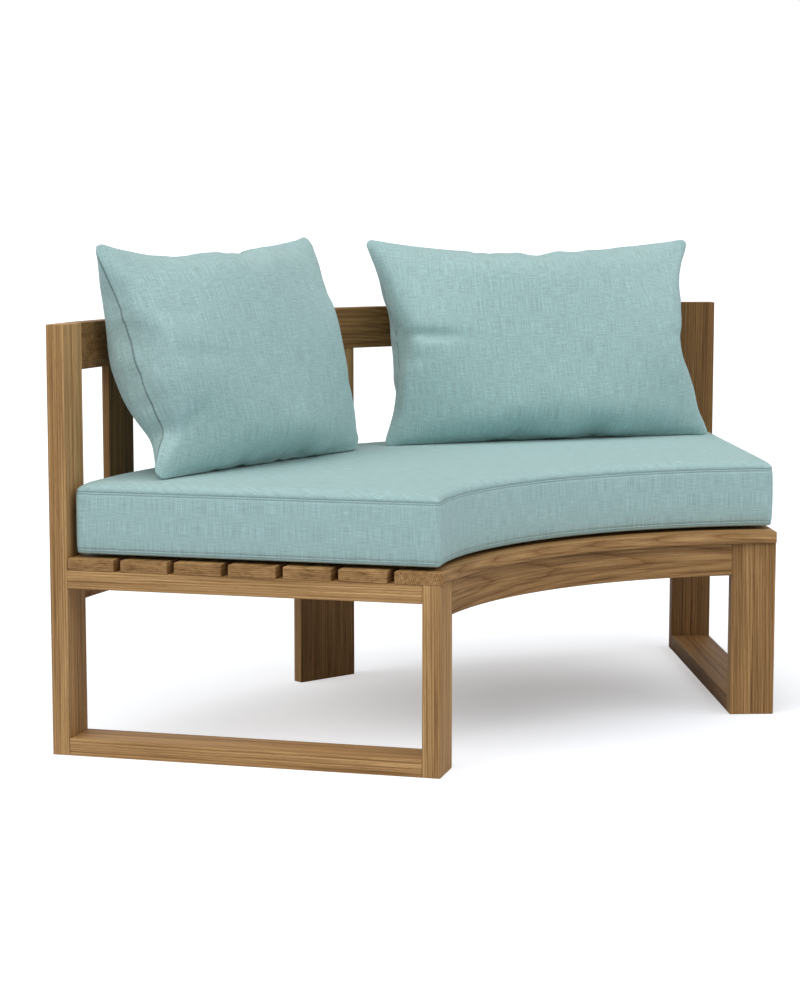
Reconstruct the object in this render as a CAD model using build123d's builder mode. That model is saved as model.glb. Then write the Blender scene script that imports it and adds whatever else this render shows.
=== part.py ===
from build123d import *
import os
from math import asin, cos, degrees, hypot, radians, sin, sqrt

# One segment of a ring of teak benches: a curved slatted deck with a hollow front edge,
# carried by two radial end frames and one leg under the middle of the back.
# The ring centre lies in front of the bench. Angles run from the middle of the bench,
# positive to the right, and radii from the ring centre.

segment_angle = 72

# Deck
nose_radius = 653
slat_count = 7
slat_width = 80
slat_gap = 12
slat_thickness = 20
deck_height = 328

# End frames, each of two layers of boards side by side
nose_overhang = 5
member_depth = 30
board_width = 39
floor_rail_height = 29
seat_rail_height = 30
deck_end_gap = 1
overall_height = 708

# Curved members
front_apron_thickness = 25
front_apron_height = 58
back_rail_height = 77
back_apron_height = 78

# Back
centre_leg_width = 131
centre_leg_thickness = 22
centre_leg_shift = 34
stave_width = 39
stave_thickness = 14
staves_per_slat = 2
slats_each_side = 3
stave_housing = 12

# Bearers under the deck
bearer_width = 30
bearer_height = 40
bearer_angle = 18

# Joints
tenon_length = 20
tenon_thickness = 13
tenon_height = 15
apron_tenon_length = 26
apron_tenon_thickness = 12
apron_tenon_shoulder = 5
leg_tenon_length = 20
leg_tenon_width = 45
leg_tenon_thickness = 8
bearer_tenon_length = 12
bearer_tenon_height = 24
bearer_tenon_thickness = 12
joint_gap = 0.2

# Seat cushion
cushion_front_margin = 27
cushion_back_margin = 15
cushion_end_margin = 13
cushion_slip = 14
cushion_height = 126
cushion_shoulder_height = 113
cushion_shoulder_width = 42
cushion_high_seam = 100
cushion_low_seam = 15
cushion_edge = 14
cushion_side_swell = 4
cushion_corner_draw = 9
rest_gap = 0.3

# Scatter pillows
pillow_height = 400
pillow_half_thickness = 90
pillow_side_draw = 32
pillow_top_draw = 26
pillow_foot_draw = 8
pillow_angle = 17.5
left_pillow_width = 560
left_pillow_lean = 17
right_pillow_width = 660
right_pillow_lean = 14.5
pillow_back_gap = 18

# One overrun for all cuts
overrun = 5

half_angle = segment_angle / 2
frame_width = 2 * board_width
deck_underside = deck_height - slat_thickness
slat_pitch = slat_width + slat_gap
deck_back_radius = nose_radius + slat_count * slat_pitch - slat_gap
leg_front = nose_radius + nose_overhang
leg_back = leg_front + member_depth
post_front = deck_back_radius + deck_end_gap
post_back = post_front + member_depth
seat_rail_underside = deck_underside - seat_rail_height
front_apron_underside = deck_underside - front_apron_height
back_apron_underside = deck_height - back_apron_height
back_rail_underside = overall_height - back_rail_height

# The curved members are flush with the legs and posts where they meet them
front_apron_inner = hypot(leg_front, frame_width)
front_apron_outer = front_apron_inner + front_apron_thickness
back_inner = hypot(post_front, frame_width)
back_outer = hypot(post_back, frame_width)
back_middle = (back_inner + back_outer) / 2

# The origin is on the floor at the middle of the part's own box
ring_centre_y = -(back_outer + nose_radius * cos(radians(half_angle))) / 2
ring_plane = Plane(origin=(0, ring_centre_y, 0))
centre_leg_angle = -degrees(asin(centre_leg_shift / back_inner))
ends = {"left": (-half_angle, 1), "right": (half_angle, -1)}


def radial_plane(angle, slip=0):
    """Upright plane through the ring centre: x outwards, y up, z along the arc to the right."""
    outwards = Vector(sin(radians(angle)), cos(radians(angle)), 0)
    along = Vector(cos(radians(angle)), -sin(radians(angle)), 0)
    return Plane(origin=(slip, ring_centre_y, 0), x_dir=outwards, z_dir=along)


def ring_point(radius, angle, aside=0):
    """Point on a circle about the ring centre, at a distance beside the radial plane."""
    turned = radians(angle) + asin(aside / radius)
    return (radius * sin(turned), radius * cos(turned))


def strip(height, inner, outer, start, end):
    """Curved strip between two radii; start and end are the angle of a plane and the distance beside it."""
    middle = (start[0] + end[0]) / 2
    with BuildSketch(ring_plane.offset(height)) as outline:
        with BuildLine():
            ThreePointArc(ring_point(inner, *start), ring_point(inner, middle), ring_point(inner, *end))
            Line(ring_point(inner, *end), ring_point(outer, *end))
            ThreePointArc(ring_point(outer, *end), ring_point(outer, middle), ring_point(outer, *start))
            Line(ring_point(outer, *start), ring_point(inner, *start))
        make_face()
    return outline.sketch


def block(plane, left, right, bottom, top):
    """Rectangle on a plane, given by its four limits."""
    with BuildSketch(plane) as outline:
        with Locations(((left + right) / 2, (bottom + top) / 2)):
            Rectangle(right - left, top - bottom)
    return outline.sketch


def grown_block(plane, left, right, bottom, top):
    """The same rectangle with the joint gap all round, for a mortise."""
    return block(plane, left - joint_gap, right + joint_gap, bottom - joint_gap, top + joint_gap)


os.makedirs("parts", exist_ok=True)

# Tenons of the end frames' rails, as limits up the leg and the post
floor_tenon = ((floor_rail_height - tenon_height) / 2, (floor_rail_height + tenon_height) / 2)
seat_tenon = (
    seat_rail_underside + (seat_rail_height - tenon_height) / 2,
    seat_rail_underside + (seat_rail_height + tenon_height) / 2,
)

# Tenons of the curved members, as limits outwards and up
front_apron_middle = (front_apron_inner + front_apron_outer) / 2
front_apron_tenon = (
    front_apron_middle - apron_tenon_thickness / 2,
    front_apron_middle + apron_tenon_thickness / 2,
    front_apron_underside + apron_tenon_shoulder,
    seat_rail_underside,
)
back_apron_tenon = (
    back_middle - apron_tenon_thickness / 2,
    back_middle + apron_tenon_thickness / 2,
    back_apron_underside + apron_tenon_shoulder,
    seat_rail_underside,
)
back_rail_tenon = (
    back_middle - apron_tenon_thickness / 2,
    back_middle + apron_tenon_thickness / 2,
    back_rail_underside + apron_tenon_thickness,
    overall_height - apron_tenon_thickness,
)
leg_side_tenon = (
    back_inner + (centre_leg_thickness - leg_tenon_thickness) / 2,
    back_inner + (centre_leg_thickness + leg_tenon_thickness) / 2,
    back_apron_underside + apron_tenon_shoulder,
    deck_height - apron_tenon_shoulder,
)

# Bearers' places along the arc, and their tenons as limits up
bearer_angles = {"left": -bearer_angle, "centre": centre_leg_angle, "right": bearer_angle}
bearer_tenon = (
    deck_underside - (bearer_height + bearer_tenon_height) / 2,
    deck_underside - (bearer_height - bearer_tenon_height) / 2,
)

# End frames: front leg, back post, seat rail and floor rail, each in an outer and an inner board
for side, (angle, inwards) in ends.items():
    for layer, name in enumerate(("outer", "inner")):
        board_plane = radial_plane(angle).offset(inwards * board_width * (layer + 1 / 2))
        side_plane = radial_plane(angle).offset(inwards * frame_width)
        has_side_joints = name == "inner"

        with BuildPart() as front_leg:
            extrude(block(board_plane, leg_front, leg_back, 0, deck_underside), board_width / 2, both=True)
            for low, high in (floor_tenon, seat_tenon):
                mortise = grown_block(board_plane, leg_back - tenon_length, leg_back + overrun, low, high)
                extrude(mortise, tenon_thickness / 2 + joint_gap, both=True, mode=Mode.SUBTRACT)
            if has_side_joints:
                mortise = grown_block(side_plane, *front_apron_tenon)
                extrude(mortise, -inwards * (apron_tenon_length + joint_gap), mode=Mode.SUBTRACT)
        front_leg.part.label = f"{side}_front_leg_{name}_board"
        export_step(front_leg.part, f"parts/{front_leg.part.label}.step")

        with BuildPart() as back_post:
            extrude(block(board_plane, post_front, post_back, 0, overall_height), board_width / 2, both=True)
            for low, high in (floor_tenon, seat_tenon):
                mortise = grown_block(board_plane, post_front - overrun, post_front + tenon_length, low, high)
                extrude(mortise, tenon_thickness / 2 + joint_gap, both=True, mode=Mode.SUBTRACT)
            if has_side_joints:
                for limits in (back_apron_tenon, back_rail_tenon):
                    mortise = grown_block(side_plane, *limits)
                    extrude(mortise, -inwards * (apron_tenon_length + joint_gap), mode=Mode.SUBTRACT)
        back_post.part.label = f"{side}_back_post_{name}_board"
        export_step(back_post.part, f"parts/{back_post.part.label}.step")

        with BuildPart() as seat_rail:
            rail = block(board_plane, leg_back, post_front, seat_rail_underside, deck_underside)
            extrude(rail, board_width / 2, both=True)
            tenons = block(board_plane, leg_back - tenon_length, post_front + tenon_length, *seat_tenon)
            extrude(tenons, tenon_thickness / 2, both=True)
        seat_rail.part.label = f"{side}_seat_rail_{name}_board"
        export_step(seat_rail.part, f"parts/{seat_rail.part.label}.step")

        with BuildPart() as floor_rail:
            rail = block(board_plane, leg_back, post_front, 0, floor_rail_height)
            extrude(rail, board_width / 2, both=True)
            tenons = block(board_plane, leg_back - tenon_length, post_front + tenon_length, *floor_tenon)
            extrude(tenons, tenon_thickness / 2, both=True)
        floor_rail.part.label = f"{side}_floor_rail_{name}_board"
        export_step(floor_rail.part, f"parts/{floor_rail.part.label}.step")

# Deck: seven curved slats from end to end
for i in range(slat_count):
    inner = nose_radius + slat_pitch * i
    with BuildPart() as slat:
        slat_face = strip(deck_underside, inner, inner + slat_width, (-half_angle, 0), (half_angle, 0))
        extrude(slat_face, slat_thickness)
    slat.part.label = f"deck_slat_{i + 1}"
    export_step(slat.part, f"parts/{slat.part.label}.step")

# Front apron under the first slats, tenoned into the inner boards of the front legs
apron_ends = ((-half_angle, frame_width), (half_angle, -frame_width))
with BuildPart() as front_apron:
    apron_face = strip(front_apron_underside, front_apron_inner, front_apron_outer, *apron_ends)
    extrude(apron_face, front_apron_height)
    for angle, inwards in ends.values():
        tenon = block(radial_plane(angle).offset(inwards * frame_width), *front_apron_tenon)
        extrude(tenon, -inwards * apron_tenon_length)
        extrude(tenon, inwards * apron_tenon_thickness)
    for angle in bearer_angles.values():
        mortise = grown_block(
            radial_plane(angle),
            front_apron_outer - bearer_tenon_length,
            front_apron_outer + overrun,
            *bearer_tenon,
        )
        extrude(mortise, bearer_tenon_thickness / 2 + joint_gap, both=True, mode=Mode.SUBTRACT)
front_apron.part.label = "front_apron"
export_step(front_apron.part, "parts/front_apron.step")

# Bearers from the front apron to the back, under the slats
for name, angle in bearer_angles.items():
    back_end = sqrt(back_inner**2 - (bearer_width / 2) ** 2)
    with BuildPart() as bearer:
        body = block(
            radial_plane(angle),
            front_apron_outer,
            back_end,
            deck_underside - bearer_height,
            deck_underside,
        )
        extrude(body, bearer_width / 2, both=True)
        tenons = block(
            radial_plane(angle),
            front_apron_outer - bearer_tenon_length,
            back_end + bearer_tenon_length,
            *bearer_tenon,
        )
        extrude(tenons, bearer_tenon_thickness / 2, both=True)
    bearer.part.label = f"{name}_bearer"
    export_step(bearer.part, f"parts/{bearer.part.label}.step")


def bearer_mortise(angle):
    """Outline of the mortise that takes a bearer's back tenon."""
    return grown_block(
        radial_plane(angle),
        back_inner - overrun,
        back_inner + bearer_tenon_length,
        *bearer_tenon,
    )


# Centre leg: two boards edge to edge, from the floor to the back rail
leg_half = centre_leg_width / 2
leg_plane = radial_plane(centre_leg_angle)
leg_back_face = back_inner + centre_leg_thickness
leg_tenon_inset = (centre_leg_thickness - leg_tenon_thickness) / 2
for name, sense in (("left", -1), ("right", 1)):
    board_plane = leg_plane.offset(sense * leg_half / 2)
    with BuildPart() as centre_leg:
        board = block(board_plane, back_inner, leg_back_face, 0, back_rail_underside)
        extrude(board, leg_half / 2, both=True)
        tenon = block(
            board_plane,
            back_inner + leg_tenon_inset,
            leg_back_face - leg_tenon_inset,
            back_rail_underside - leg_tenon_length,
            back_rail_underside + leg_tenon_length,
        )
        extrude(tenon, leg_tenon_width / 2, both=True)
        side_mortise = grown_block(leg_plane.offset(sense * leg_half), *leg_side_tenon)
        extrude(side_mortise, -sense * (apron_tenon_length + joint_gap), mode=Mode.SUBTRACT)
        extrude(
            bearer_mortise(centre_leg_angle),
            bearer_tenon_thickness / 2 + joint_gap,
            both=True,
            mode=Mode.SUBTRACT,
        )
    centre_leg.part.label = f"centre_leg_{name}_board"
    export_step(centre_leg.part, f"parts/{centre_leg.part.label}.step")

# Back slats stand at even gaps between the end posts and the place of a leg in the middle
back_slat_width = staves_per_slat * stave_width
post_side_angle = half_angle - degrees(asin(frame_width / back_middle))
leg_side_angle = degrees(asin(leg_half / back_middle))
back_slat_angle = degrees(back_slat_width / back_middle)
free_angle = post_side_angle - leg_side_angle - slats_each_side * back_slat_angle
back_gap_angle = free_angle / (slats_each_side + 1)
first_angle = leg_side_angle + back_gap_angle + back_slat_angle / 2
side_angles = [first_angle + (back_gap_angle + back_slat_angle) * i for i in range(slats_each_side)]
back_slat_angles = [-angle for angle in reversed(side_angles)] + side_angles
stave_limits = (back_middle - stave_thickness / 2, back_middle + stave_thickness / 2)

number = 0
for angle in back_slat_angles:
    for place in range(staves_per_slat):
        number += 1
        aside = stave_width * (place - (staves_per_slat - 1) / 2)
        with BuildPart() as stave:
            side_face = block(
                radial_plane(angle).offset(aside),
                *stave_limits,
                deck_height - stave_housing,
                back_rail_underside + stave_housing,
            )
            extrude(side_face, stave_width / 2, both=True)
        stave.part.label = f"back_stave_{number:02d}"
        export_step(stave.part, f"parts/{stave.part.label}.step")


def stave_housings(low, high):
    """Outlines of the housings that take the back slats' ends."""
    return [grown_block(radial_plane(angle), *stave_limits, low, high) for angle in back_slat_angles]


# Back aprons, from the posts to the centre leg
leg_side = {"left": (centre_leg_angle, -leg_half), "right": (centre_leg_angle, leg_half)}
for side, (end_angle, inwards) in ends.items():
    post_end = (end_angle, inwards * frame_width)
    with BuildPart() as back_apron:
        apron_face = strip(back_apron_underside, back_inner, back_outer, post_end, leg_side[side])
        extrude(apron_face, back_apron_height)
        tenon = block(radial_plane(end_angle).offset(inwards * frame_width), *back_apron_tenon)
        extrude(tenon, -inwards * apron_tenon_length)
        extrude(tenon, inwards * apron_tenon_thickness)
        tenon = block(leg_plane.offset(-inwards * leg_half), *leg_side_tenon)
        extrude(tenon, inwards * apron_tenon_length)
        extrude(tenon, -inwards * apron_tenon_thickness)
        for housing in stave_housings(deck_height - stave_housing, deck_height + overrun):
            extrude(housing, back_slat_width / 2 + joint_gap, both=True, mode=Mode.SUBTRACT)
        for angle in (-bearer_angle, bearer_angle):
            extrude(
                bearer_mortise(angle),
                bearer_tenon_thickness / 2 + joint_gap,
                both=True,
                mode=Mode.SUBTRACT,
            )
    back_apron.part.label = f"{side}_back_apron"
    export_step(back_apron.part, f"parts/{back_apron.part.label}.step")

# Back rail along the top, between the posts and over the leg and the back slats
with BuildPart() as back_rail:
    rail_face = strip(back_rail_underside, back_inner, back_outer, *apron_ends)
    extrude(rail_face, back_rail_height)
    for angle, inwards in ends.values():
        tenon = block(radial_plane(angle).offset(inwards * frame_width), *back_rail_tenon)
        extrude(tenon, -inwards * apron_tenon_length)
        extrude(tenon, inwards * apron_tenon_thickness)
    for sense in (-1, 1):
        mortise = grown_block(
            leg_plane.offset(sense * leg_half / 2),
            back_inner + leg_tenon_inset,
            leg_back_face - leg_tenon_inset,
            back_rail_underside - overrun,
            back_rail_underside + leg_tenon_length,
        )
        extrude(mortise, leg_tenon_width / 2 + joint_gap, both=True, mode=Mode.SUBTRACT)
    for housing in stave_housings(back_rail_underside - overrun, back_rail_underside + stave_housing):
        extrude(housing, back_slat_width / 2 + joint_gap, both=True, mode=Mode.SUBTRACT)
back_rail.part.label = "back_rail"
export_step(back_rail.part, "parts/back_rail.step")

# Seat cushion: a crowned box cushion that follows the deck, lying a little to the right
cushion_inner = nose_radius + cushion_front_margin
cushion_outer = post_front - cushion_back_margin
cushion_middle = (cushion_inner + cushion_outer) / 2
cushion_half_angle = half_angle - degrees(asin(cushion_end_margin / cushion_inner))
cushion_base = deck_height + rest_gap
crown_half_width = (cushion_outer - cushion_inner) / 2 - cushion_shoulder_width
crown_rise = cushion_height - cushion_shoulder_height

# How the cushion fills out from each end: share of the half angle, share of the full section
fill_shares = ((0, 0.1), (0.02, 0.45), (0.05, 0.66), (0.1, 0.82), (0.17, 0.91), (0.26, 0.97), (0.38, 1))
round_share = 0.3
even_steps = 12


def cushion_section(angle, full_share):
    """Section of the cushion in a radial plane: rounded edges, swelling sides and a crowned top."""
    empty_share = 1 - full_share
    inner = cushion_inner + cushion_corner_draw * empty_share
    outer = cushion_outer - cushion_corner_draw * empty_share
    base = cushion_base + cushion_low_seam * empty_share**2
    low = cushion_base + cushion_low_seam
    high = cushion_base + cushion_high_seam
    shoulder = high + (cushion_shoulder_height - cushion_high_seam) * full_share
    crown = shoulder + crown_rise * full_share
    side_middle = (low + high) / 2
    swell = cushion_side_swell * full_share
    edge_in = cushion_edge * round_share
    edge_up = (low - base) * round_share
    top_in = cushion_shoulder_width * round_share
    top_up = (shoulder - high) * (1 - round_share)
    front_seat = (inner + cushion_edge, base)
    back_seat = (outer - cushion_edge, base)
    front_top = (inner + cushion_shoulder_width, shoulder)
    back_top = (outer - cushion_shoulder_width, shoulder)
    with BuildSketch(radial_plane(angle, cushion_slip)) as section:
        with BuildLine():
            Line(back_seat, front_seat)
            ThreePointArc(front_seat, (inner + edge_in, base + edge_up), (inner, low))
            ThreePointArc((inner, low), (inner - swell, side_middle), (inner, high))
            ThreePointArc((inner, high), (inner + top_in, high + top_up), front_top)
            ThreePointArc(front_top, (cushion_middle, crown), back_top)
            ThreePointArc(back_top, (outer - top_in, high + top_up), (outer, high))
            ThreePointArc((outer, high), (outer + swell, side_middle), (outer, low))
            ThreePointArc((outer, low), (outer - edge_in, base + edge_up), back_seat)
        make_face()
    return section.sketch


left_stations = [((place - 1) * cushion_half_angle, full) for place, full in fill_shares]
full_angle = left_stations[-1][0]
even_stations = [(full_angle * (1 - 2 * i / even_steps), 1) for i in range(1, even_steps)]
right_stations = [(-angle, full) for angle, full in reversed(left_stations)]
with BuildPart() as seat_cushion:
    stations = left_stations + even_stations + right_stations
    loft([cushion_section(angle, full) for angle, full in stations], ruled=True)
seat_cushion.part.label = "seat_cushion"
export_step(seat_cushion.part, "parts/seat_cushion.step")


def cushion_top(x, y):
    """Height of the cushion's crown over a point of the floor."""
    away = hypot(x - cushion_slip, y - ring_centre_y) - cushion_middle
    crown_radius = (crown_half_width**2 + crown_rise**2) / (2 * crown_rise)
    return cushion_base + cushion_height - crown_radius + sqrt(crown_radius**2 - away**2)


# Levels of a pillow from its seam to its crown: share of the half thickness,
# share of the half size at the middle of a side, and share at the corners
level_shares = (
    (0, 1, 1),
    (0.08, 0.994, 0.96),
    (0.2, 0.98, 0.905),
    (0.34, 0.95, 0.84),
    (0.48, 0.9, 0.76),
    (0.62, 0.815, 0.67),
    (0.75, 0.7, 0.56),
    (0.86, 0.55, 0.43),
    (0.94, 0.38, 0.29),
    (0.985, 0.2, 0.15),
)
reach_steps = 20


def pillow_level(plane, width, side_share, corner_share, draw_share):
    """One level of a pillow: four arcs between the corners, drawn in at the seam and swelling above it."""
    middle = pillow_height / 2
    side_x = width / 2 * side_share - pillow_side_draw * draw_share
    foot_y = middle * (1 - side_share) + pillow_foot_draw * draw_share
    top_y = middle * (1 + side_share) - pillow_top_draw * draw_share
    corner_x = width / 2 * corner_share
    corner_y = middle * corner_share
    corners = [
        (-corner_x, middle - corner_y),
        (corner_x, middle - corner_y),
        (corner_x, middle + corner_y),
        (-corner_x, middle + corner_y),
    ]
    sides = [(0, foot_y), (side_x, middle), (0, top_y), (-side_x, middle)]
    with BuildSketch(plane) as level:
        with BuildLine():
            for i in range(4):
                ThreePointArc(corners[i], sides[i], corners[(i + 1) % 4])
        make_face()
    return level.sketch


def pillow_base_radius(width, lean):
    """Radius at which a leaning pillow's back just stays off the curved back rail, over its whole width."""
    leaning = pillow_height / 2 * sin(radians(lean))
    room = []
    for step in range(reach_steps):
        share = step / reach_steps
        thick = pillow_half_thickness * sqrt(1 - share**2) * cos(radians(lean))
        room.append(sqrt(back_inner**2 - (width / 2 * share) ** 2) - leaning - hypot(leaning, thick))
    return min(room) - pillow_back_gap


pillows = {
    "left": (-1, left_pillow_width, left_pillow_lean),
    "right": (1, right_pillow_width, right_pillow_lean),
}
for side, (sense, width, lean) in pillows.items():
    angle = sense * pillow_angle
    base_radius = pillow_base_radius(width, lean)
    outwards = radial_plane(angle).x_dir
    along = radial_plane(angle).z_dir
    foot = ring_plane.origin + outwards * base_radius
    inner_corner = foot - along * (sense * width / 2)
    foot_height = cushion_top(inner_corner.X, inner_corner.Y) + rest_gap
    facing = Vector(0, 0, 1) * sin(radians(lean)) - outwards * cos(radians(lean))
    pillow_plane = Plane(origin=foot + Vector(0, 0, foot_height), x_dir=along, z_dir=facing)
    with BuildPart() as pillow:
        for facing_sense in (-1, 1):
            levels = []
            for share, side_share, corner_share in level_shares:
                plane = pillow_plane.offset(facing_sense * share * pillow_half_thickness)
                levels.append(pillow_level(plane, width, side_share, corner_share, (1 - share) ** 2))
            loft(levels, ruled=True)
    pillow.part.label = f"{side}_pillow"
    export_step(pillow.part, f"parts/{pillow.part.label}.step")
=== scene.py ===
import random
from math import asin, atan2, cos, exp, pi, radians, sin, sqrt

import bmesh
import bpy
from bpy.props import FloatProperty, FloatVectorProperty, PointerProperty
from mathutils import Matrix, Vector
from mathutils.bvhtree import BVHTree


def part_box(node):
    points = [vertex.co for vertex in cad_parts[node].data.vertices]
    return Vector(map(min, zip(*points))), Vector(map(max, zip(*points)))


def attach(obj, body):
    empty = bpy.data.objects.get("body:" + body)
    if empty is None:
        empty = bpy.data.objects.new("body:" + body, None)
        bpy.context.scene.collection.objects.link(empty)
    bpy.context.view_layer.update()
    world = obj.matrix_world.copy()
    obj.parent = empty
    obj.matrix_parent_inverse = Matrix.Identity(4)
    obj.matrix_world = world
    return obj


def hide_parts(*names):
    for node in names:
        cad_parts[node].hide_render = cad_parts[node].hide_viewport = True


bl_info = {
    "name": "Curved Teak Bench",
    "version": (1, 0, 0),
    "blender": (4, 5, 0),
    "location": "View3D > Sidebar > Bench",
    "description": "Dresses the packed bench with teak, a cushion, pillows and a studio",
    "category": "Object",
}

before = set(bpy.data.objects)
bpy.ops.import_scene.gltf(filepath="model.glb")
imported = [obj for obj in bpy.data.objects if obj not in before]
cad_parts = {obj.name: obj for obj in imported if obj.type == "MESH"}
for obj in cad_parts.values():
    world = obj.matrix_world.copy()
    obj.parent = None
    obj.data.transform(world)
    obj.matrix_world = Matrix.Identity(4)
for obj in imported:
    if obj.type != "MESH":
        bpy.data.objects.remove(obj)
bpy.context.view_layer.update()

MM = 0.001
UP = Vector((0, 0, 1))


# The ring that the bench is a fifth of. Its centre follows from the first deck slat, whose outer
# edge runs from end to end of the bench at one radius.
HALF_ANGLE = radians(36)
slat_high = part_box("deck_slat_1")[1]
RING_CENTRE = Vector((0, slat_high.y - slat_high.x / sin(HALF_ANGLE), 0))


def outwards(angle):
    """Level direction away from the ring centre, at an angle from the bench's middle."""
    return Vector((sin(angle), cos(angle), 0))


def along_arc(angle):
    """Level direction along the arc, to the right."""
    return Vector((cos(angle), -sin(angle), 0))


def linear(code):
    """sRGB hex code to a linear colour."""
    channels = [int(code[i:i + 2], 16) / 255 for i in (1, 3, 5)]
    return [c / 12.92 if c <= 0.04045 else ((c + 0.055) / 1.055) ** 2.4 for c in channels] + [1.0]


# Sizes and colours that a user would change

class BenchSizes(bpy.types.PropertyGroup):
    edge_ease: FloatProperty(
        name="Board edge",
        description="Radius to which the teak boards' edges are eased",
        default=1.3 * MM,
        unit="LENGTH",
    )
    ring_spacing: FloatProperty(
        name="Growth rings",
        description="Distance between the growth rings in the teak",
        default=3.4 * MM,
        unit="LENGTH",
    )
    thread_spacing: FloatProperty(
        name="Threads",
        description="Distance between the fabric's threads, drawn coarser than real ones",
        default=1.1 * MM,
        unit="LENGTH",
    )
    seam_depth: FloatProperty(
        name="Seam depth",
        description="How deep the cushion's seams lie",
        default=1.3 * MM,
        unit="LENGTH",
    )
    stitch_distance: FloatProperty(
        name="Stitch distance",
        description="Distance between a cushion's seam and the stitching beside it",
        default=3.8 * MM,
        unit="LENGTH",
    )
    key_strength: FloatProperty(
        name="Key light",
        description="Strength of the main lamp",
        default=1.75,
    )
    front_strength: FloatProperty(
        name="Front light",
        description="Strength of the weaker lamp in front of the bench",
        default=1.0,
    )
    sky_strength: FloatProperty(
        name="Room light",
        description="Strength of the even light from all around",
        default=0.27,
    )


class BenchColours(bpy.types.PropertyGroup):
    teak_light: FloatVectorProperty(
        name="Teak, early wood",
        description="The light wood between the growth rings",
        subtype="COLOR", size=4, min=0, max=1, default=linear("#BA925F"),
    )
    teak_dark: FloatVectorProperty(
        name="Teak, late wood",
        description="The dark wood of the growth rings",
        subtype="COLOR", size=4, min=0, max=1, default=linear("#7C4E20"),
    )
    fabric: FloatVectorProperty(
        name="Fabric",
        description="Main colour of the woven outdoor fabric",
        subtype="COLOR", size=4, min=0, max=1, default=linear("#A7C6C5"),
    )
    floor: FloatVectorProperty(
        name="Floor",
        description="Colour of the studio floor",
        subtype="COLOR", size=4, min=0, max=1, default=linear("#D6DAE1"),
    )


def sizes():
    return bpy.context.scene.bench_sizes


def colours():
    return bpy.context.scene.bench_colours


# Materials

def add_node(material, kind, links=None, **settings):
    """Adds one node: settings name its properties and inputs, links the sockets that feed it."""
    tree = material.node_tree
    node = tree.nodes.new(kind)
    for name, value in settings.items():
        if hasattr(node, name):
            setattr(node, name, value)
        else:
            node.inputs[name.replace("_", " ")].default_value = value
    for name, socket in (links or {}).items():
        tree.links.new(socket, node.inputs[name])
    return node


def new_material(name):
    material = bpy.data.materials.new(name)
    material.use_nodes = True
    material.node_tree.nodes.clear()
    return material


def finish_material(material, shader):
    add_node(material, "ShaderNodeOutputMaterial", {"Surface": shader.outputs["BSDF"]})
    return material


def ramp(material, source, stops):
    """Colour ramp over a value, from (place, colour) stops in rising order."""
    node = add_node(material, "ShaderNodeValToRGB", {"Fac": source})
    elements = node.color_ramp.elements
    elements.remove(elements[1])
    elements[0].position, elements[0].color = stops[0]
    for place, colour in stops[1:]:
        elements.new(place).color = colour
    return node.outputs["Color"]


def grey(value):
    return (value, value, value, 1)


def brown(value):
    """Shade of teak: what darkens it takes the blue first, so that dark wood stays warm."""
    return (value ** 0.85, value, value ** 1.25, 1)


def multiplied(material, shades):
    """Multiplies a row of colour sockets into one."""
    share, first, second, result = 0, 6, 7, 2
    product = shades[0]
    for shade in shades[1:]:
        mix = add_node(
            material,
            "ShaderNodeMix",
            {first: product, second: shade},
            data_type="RGBA",
            blend_type="MULTIPLY",
        )
        mix.inputs[share].default_value = 1.0
        product = mix.outputs[result]
    return product


def combined(material, operation, first, second):
    """One value from two value sockets."""
    return add_node(
        material, "ShaderNodeMath", {0: first, 1: second}, operation=operation
    ).outputs["Value"]


def scaled(material, places, scale):
    """Texture places, scaled for each direction."""
    node = add_node(material, "ShaderNodeMapping", {"Vector": places}, Scale=scale)
    return node.outputs["Vector"]


def noise(material, places, scale, detail):
    """Noise over texture places that are first scaled for each direction."""
    return add_node(
        material,
        "ShaderNodeTexNoise",
        {"Vector": scaled(material, places, scale)},
        Scale=1.0,
        Detail=detail,
        Roughness=0.55,
    ).outputs["Fac"]


# The scale at which a wave texture repeats once in a metre
ONE_WAVE = 2 * pi / 20


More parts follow.
